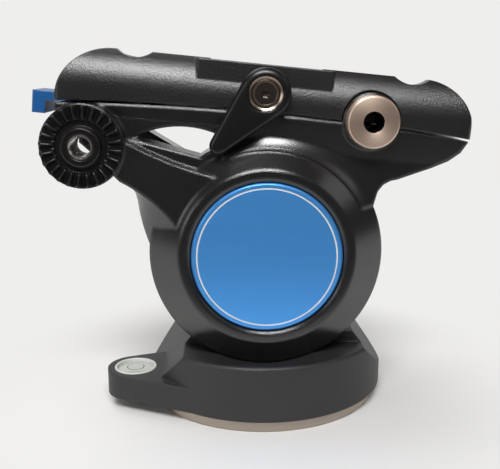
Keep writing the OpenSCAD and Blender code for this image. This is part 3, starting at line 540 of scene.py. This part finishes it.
def outward(centre, side):
    """Placing function for a piece turned about a line along Y: its height runs outwards on that side.

    Side is -1 on the operator's right and 1 on the left; the piece is mirrored, not turned over."""
    u0, w0 = centre
    return lambda x, z, h: on_cradle(u0 + x, side * h, w0 + z)


# Side caps
# The blue discs that close the ends of the tilt axle, pressed into the cradle's bezels.
# Turned aluminium, brushed in one direction, anodised blue, with a cut bright rim and a ring line.

cap_low, cap_high = corners("right_cap")
cap_r = (cap_high[0] - cap_low[0]) / 2
cap_face, cap_back = -cap_low[1], -cap_high[1]
cap_chamfer, cap_lead, cap_lead_h = 0.45 * MM, 0.1 * MM, 0.2 * MM
line_r, line_w, line_cut = 15.9 * MM, 0.16 * MM, 0.05 * MM


def blue_cap_finish():
    """Blue anodise over straight brushing, with a pale ring line.

    The brushing is noise stretched along the deck, and the ring is a mask of the radius."""
    m, tree, shader = finish_of("cap_blue_anodise")
    marks = placed(tree, turned_rings, Centre=tuple(tilt_c), Axis=(0, 1, 0), Rings_per_metre=5000)
    line = ring_mask(tree, marks, line_r, line_w)
    where = node(tree, "TexCoord")
    stretch = node(tree, "Mapping", Scale=(60, 60, 6000))
    brush = node(tree, "TexNoise", Scale=1.0, Detail=2.0)
    strokes = brush.outputs["Fac"]
    bump = node(tree, "Bump", Strength=0.2, Distance=0.01 * MM)
    blue = between(tree, strokes, (0.085, 0.37, 0.9), (0.1, 0.41, 0.96))
    wire(
        tree,
        (where.outputs["Object"], stretch.inputs["Vector"]),
        (stretch.outputs["Vector"], brush.inputs["Vector"]),
        (strokes, bump.inputs["Height"]),
        (bump.outputs["Normal"], shader.inputs["Normal"]),
        (between(tree, line, blue, (0.62, 0.62, 0.6)), shader.inputs["Base Color"]),
        (between(tree, strokes, 0.3, 0.42), shader.inputs["Roughness"]),
        (between(tree, line, 0.72, 0.1), shader.inputs["Metallic"]),
    )
    return m


cap_finish = blue_cap_finish()
for side, name in ((-1, "right_cap"), (1, "left_cap")):
    cap = lathe(name + "_anodised", rounded([
        (0, cap_back), (cap_r - cap_lead, cap_back), (cap_r, cap_back + cap_lead_h),
        (cap_r, cap_face - cap_chamfer), (cap_r - cap_chamfer, cap_face),
        (line_r + line_w, cap_face), (line_r + line_w, cap_face - line_cut),
        (line_r - line_w, cap_face - line_cut), (line_r - line_w, cap_face), (0, cap_face),
    ], 0.08 * MM, steps=2), outward((0, 0), side), turns=192, sharp=25)
    dress(cap, cap_finish)
    fit(cap, "tilt", "cap_blue", name)


# Handle seats
# The toothed discs that a pan handle's collar locks into, screwed on the arms' round bosses.
# Zinc die castings, barrel-polished and dipped gloss black; a steel insert takes the screw.

seat_c = spot(mounts["right_handle_thread"]["pos_m"])
seat_low, seat_high = corners("right_handle_seat")
seat_r = (seat_high[0] - seat_low[0]) / 2
seat_foot, seat_h = -seat_high[1], seat_high[1] - seat_low[1]
bore_r = mounts["right_handle_thread"]["dims"]["r_mm"] * MM
bore_l = mounts["right_handle_thread"]["dims"]["length_mm"] * MM
insert_r = bore_r + 0.6 * MM
teeth, tooth_steps = 24, 14
seat_bore = insert_r + 0.03 * MM
hub_r, trough_in, trough_out = 3.95 * MM, 4.5 * MM, 5.7 * MM
trough_h, root_h = 0.55 * MM, 0.85 * MM
wall_h, foot_chamfer = 0.6 * MM, 0.1 * MM
thread_pitch = 0.8 * MM


def toothed_seat(name, side):
    """Toothed disc on a grid of (angle, radius).

    Inside the root circle it is a plain turned profile: hub, trough and floor. Outside it the height
    is a triangle wave of the angle with a rounded crest, growing with the radius, so the teeth are radial."""
    a = np.linspace(0, 2 * np.pi, teeth * tooth_steps, endpoint=False)[None, :]
    wave = np.abs((a * teeth / (2 * np.pi)) % 1.0 * 2 - 1)
    tooth = np.sqrt(np.square(1.08 * wave - 0.08) + 0.004) - 0.06
    tooth = tooth - 0.11 * np.square(np.clip(wave - 0.78, 0, 1) / 0.22)
    inner = rounded([
        (seat_bore, 0), (seat_bore, seat_h - 0.25 * MM), (insert_r + 0.3 * MM, seat_h), (hub_r, seat_h),
        (trough_in - 0.1 * MM, seat_h - 0.35 * MM), (trough_in, trough_h),
        (trough_out, trough_h), (trough_out + 0.05 * MM, root_h - 0.05 * MM),
    ], 0.12 * MM, steps=3)
    tooth_r = np.array([5.8, 6.0, 6.6, 7.4, 8.2, 8.8]) * MM
    tooth_r = np.append(tooth_r, [seat_r - foot_chamfer, seat_r])[:, None]
    tooth_share = np.array([0.35, 0.55, 0.8, 0.95, 1, 1, 0.94, 0.8])[:, None]
    tooth_h = root_h + (seat_h - root_h) * tooth_share * tooth
    outer = np.array([(seat_r, wall_h), (seat_r, foot_chamfer), (seat_r - foot_chamfer, 0), (seat_bore, 0)])
    r = np.vstack([inner[:, :1] + 0 * a, tooth_r + 0 * a, outer[:, :1] + 0 * a])
    h = np.vstack([inner[:, 1:] + 0 * a, tooth_h, outer[:, 1:] + 0 * a])
    return surface(name, outward(seat_c, side)(r * np.cos(a), r * np.sin(a), seat_foot + h), sharp=40)


def thread_flanks(radius, ridge, top, foot):
    """Profile of a threaded bore as rings of ridges: the radius is a triangle wave along the axis."""
    h = np.arange(top, foot, -thread_pitch / 4)
    return np.stack([radius + ridge * np.abs((h / thread_pitch) % 1.0 * 2 - 1), h], -1)


def threaded_insert(name, foot, top, place):
    """Threaded tube: the bore's flanks, the outer wall, and a bright chamfer back to the first flank."""
    ridge, chamfer, break_w = 0.08 * MM, 0.4 * MM, 0.05 * MM
    flanks = thread_flanks(bore_r, ridge, top - chamfer, foot)
    return lathe(name, np.vstack([
        flanks,
        [(bore_r, foot), (insert_r, foot), (insert_r, top - break_w), (insert_r - break_w, top),
         (bore_r + chamfer, top), flanks[0]],
    ]), place, turns=96, sharp=25)


def seat_black_finish():
    """Gloss black dip with a faint orange peel in its bump and gloss."""
    m, tree, shader = finish_of("seat_gloss_black", specular=0.35)
    grain = placed(tree, coat_grain, Grains_per_metre=2500)
    fine = grain.outputs["Height"]
    bump = node(tree, "Bump", Strength=0.15, Distance=0.02 * MM)
    black = between(tree, grain.outputs["Tone"], (0.0035, 0.0035, 0.0037), (0.005, 0.005, 0.0052))
    wire(
        tree,
        (fine, bump.inputs["Height"]),
        (bump.outputs["Normal"], shader.inputs["Normal"]),
        (black, shader.inputs["Base Color"]),
        (between(tree, fine, 0.26, 0.36), shader.inputs["Roughness"]),
    )
    return m


def axis_point(centre):
    """Point of the frame on the line along Y through a place (u, w) of the cradle."""
    return tuple(on_cradle(centre[0], 0.0, centre[1]))


seat_black = seat_black_finish()
insert_steel = turned_metal(
    "insert_bright_steel", (0.8, 0.77, 0.74), axis_point(seat_c), (0, 1, 0), (0.2, 0.32)
)
for side, word in ((-1, "right"), (1, "left")):
    seat = toothed_seat(word + "_seat_toothed", side)
    dress(seat, seat_black)
    fit(seat, "tilt", "seat_black", word + "_handle_seat")
    top = abs(mounts[word + "_handle_thread"]["pos_m"][1])
    insert = threaded_insert(word + "_insert_threaded", top - bore_l, top, outward(seat_c, side))
    dress(insert, insert_steel)
    fit(insert, "tilt", "steel", word + "_insert")


# Plate clamp
# The upper body that holds the camera plate in its dovetail, screwed down on the arched deck.
# Die-cast aluminium under a fine-textured black powder coat; the sliding jaw is hard anodised.

dress(nodes["clamp_body"], coated(
    "clamp_textured_coat", (0.007, 0.007, 0.0073), roughness=0.32, grains=3300, depth=0.15 * MM,
    edge_r=0.6 * MM, edge_lift=0.003, sheen=0.9,
))
dress(nodes["sliding_jaw"], coated(
    "jaw_hard_anodise", (0.05, 0.05, 0.052), roughness=0.4, grains=6000, depth=0.01 * MM,
    edge_r=0.3 * MM, edge_lift=0.02,
))


# Clamp lever
# The teardrop lever that draws the jaw in, on a socket-head bolt with a cup washer in its recess.
# Lever: die-cast zinc, satin black. Bolt: steel, browned to gunmetal. Washer: steel, polished.

pivot = spot(joints["lever_turn"]["pos_m"])
lever_in = -corners("plate_lever")[1][1]
big_r, tip_r, lever_l = 5.6 * MM, 2.0 * MM, 15.3 * MM
lever_way = math.radians(180 + 53)
face_h, crown_h = 3.0 * MM, 0.2 * MM
recess_r, recess_floor, recess_lip, hole_r = 3.9 * MM, 1.4 * MM, 0.25 * MM, 2.02 * MM


def teardrop_radius(a, inset):
    """Distance from the pivot to the edge of two circles joined by tangents, drawn in by an inset.

    By the angle from the lever's middle line: the tip's circle near it, then the tangent, whose
    distance is the big radius over the cosine of the angle from its normal, then the big circle."""
    r1, r2 = big_r - inset, tip_r - inset
    lean = np.arccos((big_r - tip_r) / lever_l)
    tip_end = np.arctan2(r2 * np.sin(lean), lever_l + r2 * np.cos(lean))
    a = np.abs(a)
    tip = lever_l * np.cos(a) + np.sqrt(np.maximum(r2**2 - (lever_l * np.sin(a)) ** 2, 0))
    side = r1 / np.cos(np.minimum(np.abs(a - lean), 1.5))
    return np.where(a < tip_end, tip, np.where(a < lean, side, r1 + 0 * a))


def teardrop_lever(name):
    """Lever on a grid of (angle round the pivot, place along the wall's profile).

    The profile runs from the bolt hole over the back, up the wall, over a bevel and a shallow crowned
    face, and down into the round recess. The angles crowd towards the narrow tip."""
    x = np.linspace(-1, 1, 240, endpoint=False)[None, :]
    a = np.pi * x * np.abs(x)
    wall = np.array([(0.35, 0), (0, 0.35), (0, 2.0), (0.12, 2.45), (0.4, 2.8), (0.75, 3.0)])[:, :, None] * MM
    edge = teardrop_radius(a, wall[:, 0])
    rim = recess_r + recess_lip
    inward = np.linspace(0, 1, 8)[1:-1, None]
    face = edge[-1:] + (rim - edge[-1:]) * inward
    hub = np.array([
        (rim, face_h + crown_h), (recess_r, face_h + crown_h / 2), (recess_r, recess_floor),
        (hole_r, recess_floor), (hole_r, 0),
    ])[:, :, None]
    r = np.vstack([hole_r + 0 * a, edge, face, hub[:, 0] + 0 * a])
    h = np.vstack([
        0 * a, wall[:, 1] + 0 * a, face_h + crown_h * np.sin(np.pi / 2 * inward) + 0 * a, hub[:, 1] + 0 * a,
    ])
    place = outward(pivot, -1)
    return surface(name, place(r * np.cos(a + lever_way), r * np.sin(a + lever_way), lever_in + h), sharp=30)


lever = teardrop_lever("clamp_lever_cast")
dress(lever, coated(
    "lever_satin_black", (0.005, 0.005, 0.0052), roughness=0.3, grains=5000, depth=0.01 * MM,
    edge_r=0.3 * MM, edge_lift=0.006, sheen=0.4,
))
fit(lever, "plate_lock", "lever_black", "plate_lever")

bolt_low, bolt_high = corners("lever_bolt")
bolt_r, head_r, head_h = 2.0 * MM, 3.0 * MM, 1.4 * MM
socket_r, socket_h, socket_point, socket_lead = 1.0 * MM, 1.1 * MM, 0.3 * MM, 0.15 * MM
rib_r, rib_w, rib_h, dish = 2.6 * MM, 0.3 * MM, 0.2 * MM, 0.28 * MM
head_foot = -bolt_low[1] - head_h


def socket_bolt(name):
    """Socket-head bolt on a grid of (angle, profile): round outside, a raised rib round a shallow dish,
    and a hexagon in the socket.

    The hexagon's radius is its flat's distance over the cosine of the angle from that flat's middle."""
    a = np.linspace(0, 2 * np.pi, 144, endpoint=False)[None, :]
    hexagon = socket_r * math.cos(math.pi / 6) / np.cos((a % (np.pi / 3)) - np.pi / 6)
    shank_end = -bolt_high[1] - head_foot
    rows = [
        (0, shank_end), (bolt_r, shank_end), (bolt_r, 0), (head_r, 0),
        (head_r, head_h - 0.35 * MM), (head_r - 0.15 * MM, head_h - rib_h),
        (rib_r + rib_w, head_h - rib_h), (rib_r + rib_w / 2, head_h),
        (rib_r - rib_w / 2, head_h), (rib_r - rib_w, head_h - dish),
        (hexagon + socket_lead, head_h - dish), (hexagon, head_h - dish - socket_lead),
        (hexagon, head_h - socket_h), (0, head_h - socket_h - socket_point),
    ]
    r = np.vstack([radius + 0 * a for radius, height in rows])
    h = np.vstack([height + 0 * a for radius, height in rows])
    return surface(name, outward(pivot, -1)(r * np.cos(a), r * np.sin(a), head_foot + h), sharp=25)


bolt = socket_bolt("lever_bolt_socket_head")
dress(bolt, turned_metal(
    "bolt_gunmetal", (0.42, 0.35, 0.3), axis_point(pivot), (0, 1, 0), (0.22, 0.34),
    bore=rib_r - rib_w, inner=(0.15, 0.128, 0.11),
))
fit(bolt, "plate_lock", "bolt_steel", "lever_bolt")

washer_in, washer_out = head_r + 0.06 * MM, recess_r - 0.05 * MM
washer_foot, washer_wall, washer_lip = lever_in + 1.45 * MM, lever_in + 2.6 * MM, lever_in + 2.75 * MM
washer_brim, lip_w = lever_in + 2.4 * MM, 0.15 * MM
cup_washer = lathe("lever_cup_washer", rounded([
    (washer_in, washer_foot), (washer_out, washer_foot), (washer_out, washer_wall),
    (washer_out - lip_w, washer_lip), (washer_out - 2 * lip_w, washer_wall),
    (washer_in, washer_brim), (washer_in, washer_foot),
], 0.06 * MM, steps=2), outward(pivot, -1), turns=96, sharp=25)
dress(cup_washer, turned_metal(
    "washer_polished_steel", (0.42, 0.34, 0.285), axis_point(pivot), (0, 1, 0), (0.2, 0.32)
))
fit(cup_washer, "plate_lock", "bolt_steel")


# Accessory port
# The bright flanged bush beside the lever that takes an accessory arm's screw.
# Turned aluminium, faced with a fine feed and left bare, its stem pressed in the cradle's boss.

port_c = spot(mounts["accessory_thread"]["pos_m"])
port_low, port_high = corners("accessory_port")
port_r = (port_high[0] - port_low[0]) / 2
port_top, port_foot = -port_low[1], -port_high[1]
port_bore = mounts["accessory_thread"]["dims"]["r_mm"] * MM
port_ridge, port_lead, port_chamfer = 0.22 * MM, 0.28 * MM, 0.35 * MM
stem_r, flange_foot = port_bore + 1.8 * MM, port_top - 3.3 * MM
port_flanks = thread_flanks(port_bore, port_ridge, port_top - port_lead, port_foot)
port = lathe("accessory_port_turned", np.vstack([
    port_flanks,
    rounded([
        (port_bore, port_foot), (stem_r, port_foot), (stem_r, flange_foot), (port_r, flange_foot),
        (port_r, port_top - port_chamfer), (port_r - port_chamfer, port_top),
        (port_bore + port_lead, port_top), tuple(port_flanks[0]),
    ], 0.08 * MM, steps=2),
]), outward(port_c, -1), turns=144, sharp=25)
# Inside its bore the port is painted near black: painted shade of the deep threaded hole.
dress(port, turned_metal(
    "port_turned_aluminium", (0.93, 0.71, 0.575), axis_point(port_c), (0, 1, 0), (0.36, 0.5),
    depth=0.02 * MM, spread=0.4, bore=port_bore + 0.24 * MM,
))
fit(port, "tilt", "port_metal", "accessory_port")


# Release tab
# The blue thumb tab behind the deck that draws the safety pin down.
# Bent from aluminium strip with rolled edges, anodised blue; its lip carries the thumb.


def eased(piece, width):
    """Rounds a CAD node's sharp edges for the picture with a bevel modifier of the given width."""
    bevel = piece.modifiers.new("eased_edges", "BEVEL")
    bevel.width = width
    bevel.segments = 3
    bevel.limit_method = "ANGLE"
    bevel.angle_limit = math.radians(40)
    bevel.harden_normals = True


dress(nodes["release_tab"], coated(
    "tab_blue_anodise", (0.003, 0.078, 0.25), roughness=0.35, grains=5000, depth=0.01 * MM,
    edge_r=0.5 * MM, edge_lift=0.05,
))
eased(nodes["release_tab"], 0.5 * MM)


# Lock controls
# The tilt lock's lever on the operator's left and the pan lock's knob at the base.
# Moulded in glass-filled nylon, black, on steel screws.

nylon = coated(
    "lock_black_nylon", (0.014, 0.014, 0.0145), roughness=0.5, grains=2600, depth=0.03 * MM,
    edge_r=0.5 * MM, edge_lift=0.006,
)
for name in ("tilt_lock_lever", "pan_lock_knob"):
    dress(nodes[name], nylon)
    eased(nodes[name], 0.6 * MM)


# Table and studio
# A white paper sweep under and behind the head, which in reflections gives way to a shaded room in front.
# One soft light stands high in front, one hangs behind on the left, and two faint ones stand at the sides.

backdrop_white, room_shade = (0.86, 0.855, 0.845), (0.08, 0.074, 0.07)
shadow_near, shadow_far = 0.034, 0.085
room_near, room_far = -0.07, -0.15
sweep_half, flat_reach, bend_r, wall_l = 1.6, 1.0, 0.4, 2.0
flat_share, bend_share = 0.45, 0.2


def paper_sweep(name):
    """Sheet of (place along, place across): flat on the table, a quarter circle, then up the wall."""
    t = np.linspace(0, 1, 33)[:, None]
    across = np.linspace(-sweep_half, sweep_half, 9)[None, :]
    bend = np.clip((t - flat_share) / bend_share, 0, 1) * np.pi / 2
    bend_end = flat_share + bend_share
    run = np.where(t < flat_share, flat_reach * (2 * t / flat_share - 1), flat_reach + bend_r * np.sin(bend))
    rise = np.where(t < bend_end, bend_r * (1 - np.cos(bend)), bend_r + wall_l * (t - bend_end))
    return surface(name, upright(across, run, rise), around=False)


def paper_finish():
    """White paper that keeps the head's shadow close round it and is plain white further out.

    The distance from the head's middle masks the far paper, which the camera and reflections see as a
    plain glow. In reflections the paper in front, masked by its place along Y, glows as a shaded room."""
    m, tree, shader = finish_of("paper_white", specular=0.2)
    grain = placed(tree, coat_grain, Grains_per_metre=300)
    where = node(tree, "TexCoord")
    rays = node(tree, "LightPath")
    spread = node(tree, "VectorMath", operation="LENGTH")
    split = node(tree, "SeparateXYZ")
    far = node(tree, "MapRange", interpolation_type="SMOOTHSTEP", From_Min=shadow_near, From_Max=shadow_far)
    front = node(tree, "MapRange", interpolation_type="SMOOTHSTEP", From_Min=room_near, From_Max=room_far)
    either = node(tree, "Math", operation="MAXIMUM")
    distant = node(tree, "Math", operation="MULTIPLY")
    shaded = node(tree, "Math", operation="MULTIPLY")
    seen = node(tree, "Math", operation="MAXIMUM")
    glow = node(tree, "Emission", Strength=1.0)
    pick = node(tree, "MixShader")
    white = between(tree, grain.outputs["Tone"], (0.82, 0.81, 0.795), (0.85, 0.84, 0.83))
    wire(
        tree,
        (white, shader.inputs["Base Color"]),
        (between(tree, grain.outputs["Height"], 0.75, 0.85), shader.inputs["Roughness"]),
        (where.outputs["Object"], spread.inputs[0]),
        (where.outputs["Object"], split.inputs[0]),
        (spread.outputs["Value"], far.inputs["Value"]),
        (split.outputs["Y"], front.inputs["Value"]),
        (rays.outputs["Is Camera Ray"], either.inputs[0]),
        (rays.outputs["Is Glossy Ray"], either.inputs[1]),
        (far.outputs["Result"], distant.inputs[0]),
        (either.outputs[0], distant.inputs[1]),
        (front.outputs["Result"], shaded.inputs[0]),
        (rays.outputs["Is Glossy Ray"], shaded.inputs[1]),
        (distant.outputs[0], seen.inputs[0]),
        (shaded.outputs[0], seen.inputs[1]),
        (between(tree, shaded.outputs[0], backdrop_white, room_shade), glow.inputs["Color"]),
        (seen.outputs[0], pick.inputs[0]),
        (shader.outputs[0], pick.inputs[1]),
        (glow.outputs[0], pick.inputs[2]),
        (pick.outputs[0], tree.nodes["Material Output"].inputs["Surface"]),
    )
    return m


sweep = paper_sweep("paper_sweep")
dress(sweep, paper_finish())


def studio_room():
    """World that lights the head as a dim room, while the camera sees the white backdrop."""
    world = bpy.data.worlds.new("studio_room")
    world.use_nodes = True
    tree = world.node_tree
    room = tree.nodes["Background"]
    room.inputs["Color"].default_value = (1.0, 0.98, 0.96, 1)
    room.inputs["Strength"].default_value = 0.09
    backdrop = node(tree, "Background", Color=(*backdrop_white, 1), Strength=1.0)
    rays = node(tree, "LightPath")
    pick = node(tree, "MixShader")
    wire(
        tree,
        (rays.outputs["Is Camera Ray"], pick.inputs[0]),
        (room.outputs[0], pick.inputs[1]),
        (backdrop.outputs[0], pick.inputs[2]),
        (pick.outputs[0], tree.nodes["World Output"].inputs["Surface"]),
    )
    return world


bpy.context.scene.world = studio_room()


def softbox(name, place, aim, size, power, shine=1.0):
    """Rectangular area light at a place, turned to face a point; shine is its share in reflections."""
    light = bpy.data.lights.new(name, "AREA")
    light.shape = "RECTANGLE"
    light.size, light.size_y = size
    light.energy = power
    light.specular_factor = shine
    lamp = bpy.data.objects.new(name, light)
    lamp.location = place
    way = np.asarray(aim, float) - np.asarray(place, float)
    lamp.rotation_euler = (math.atan2(math.hypot(way[0], way[1]), -way[2]), 0, math.atan2(-way[0], way[1]))
    bpy.context.scene.collection.objects.link(lamp)


softbox("key_softbox", place=(-0.03, -0.52, 0.58), aim=(0, 0, 0.06), size=(0.4, 0.18), power=5.3)
softbox("back_softbox", place=(-0.28, 0.3, 0.78), aim=(0, 0.05, 0), size=(0.7, 0.5), power=3.0, shine=0.0)
softbox("right_softbox", place=(0.65, -0.2, 0.45), aim=(0, 0, 0.05), size=(0.5, 0.3), power=0.3)
softbox("left_softbox", place=(-0.55, -0.42, 0.2), aim=(0, 0, 0.05), size=(0.22, 0.3), power=0.7)


# Camera
# Stands in front and a little above, as the photograph was taken. Its place, turn and focal length come
# from fitting the base's ellipse, the cap, the port and the tilt axis to the photograph's frame.

FRAME_PX, FOCAL_PX = (500, 469), 752.3
SENSOR_MM = 36.0
LOOK_DOWN, LOOK_RIGHT = math.radians(12.73), math.radians(1.75)
camera = bpy.data.objects.new("camera", bpy.data.cameras.new("camera"))
camera.data.sensor_fit = "HORIZONTAL"
camera.data.sensor_width = SENSOR_MM
camera.data.lens = SENSOR_MM * FOCAL_PX / FRAME_PX[0]
camera.data.clip_start = 0.01
camera.location = (-0.0089, -0.1921, 0.0845)
camera.rotation_euler = (math.pi / 2 - LOOK_DOWN, 0, -LOOK_RIGHT)
bpy.context.scene.collection.objects.link(camera)
bpy.context.scene.camera = camera
bpy.context.scene.view_settings.view_transform = "Standard"
